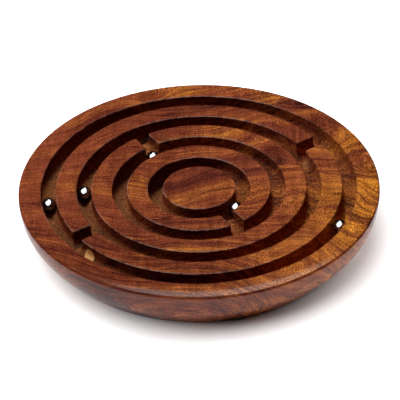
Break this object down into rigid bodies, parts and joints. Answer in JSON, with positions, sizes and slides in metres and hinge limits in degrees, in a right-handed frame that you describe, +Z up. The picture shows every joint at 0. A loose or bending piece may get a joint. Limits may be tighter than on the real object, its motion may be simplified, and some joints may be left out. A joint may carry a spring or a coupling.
{
  "type": "tilt maze game",
  "caption": "Round hardwood tilt maze: concentric ring tracks joined by gates, with loose steel balls rolled from track to track by tilting the board by hand.",
  "frame": {"origin": "centre of the board's flat resting face, on the table", "axes": "+Z up out of the track side along the board's turning axis; +X along the wood grain, to the right when the gates of the outermost ring wall lie at 32 and 212 degrees from +X; +Y away from the player"},
  "size_m": [0.152, 0.152, 0.022],
  "materials": {
    "board_wood": "satin clear-lacquered figured red-brown hardwood",
    "ball_steel": "polished bearing steel"
  },
  "bodies": {
    "board": {"base": "board_wood", "rim": "board_wood", "outer_ring_wall": "board_wood", "middle_ring_wall": "board_wood", "inner_ring_wall": "board_wood", "centre_disc": "board_wood"},
    "ball_outer_left": {"ball_outer_left": "ball_steel"},
    "ball_outer_right": {"ball_outer_right": "ball_steel"},
    "ball_third": {"ball_third": "ball_steel"},
    "ball_second": {"ball_second": "ball_steel"},
    "ball_inner": {"ball_inner": "ball_steel"}
  },
  "joints": [
    {"name": "outer_left_roll", "type": "hinge", "parent": "board", "child": "ball_outer_left", "pos_m": [0, 0, 0.015], "axis": [0, 0, 1], "range_deg": [-88, 82]},
    {"name": "outer_right_roll", "type": "hinge", "parent": "board", "child": "ball_outer_right", "pos_m": [0, 0, 0.015], "axis": [0, 0, 1], "range_deg": [-61, 109]},
    {"name": "third_roll", "type": "hinge", "parent": "board", "child": "ball_third", "pos_m": [0, 0, 0.015], "axis": [0, 0, 1], "continuous": true},
    {"name": "second_roll", "type": "hinge", "parent": "board", "child": "ball_second", "pos_m": [0, 0, 0.015], "axis": [0, 0, 1], "continuous": true},
    {"name": "inner_roll", "type": "hinge", "parent": "board", "child": "ball_inner", "pos_m": [0, 0, 0.015], "axis": [0, 0, 1], "continuous": true}
  ]
}
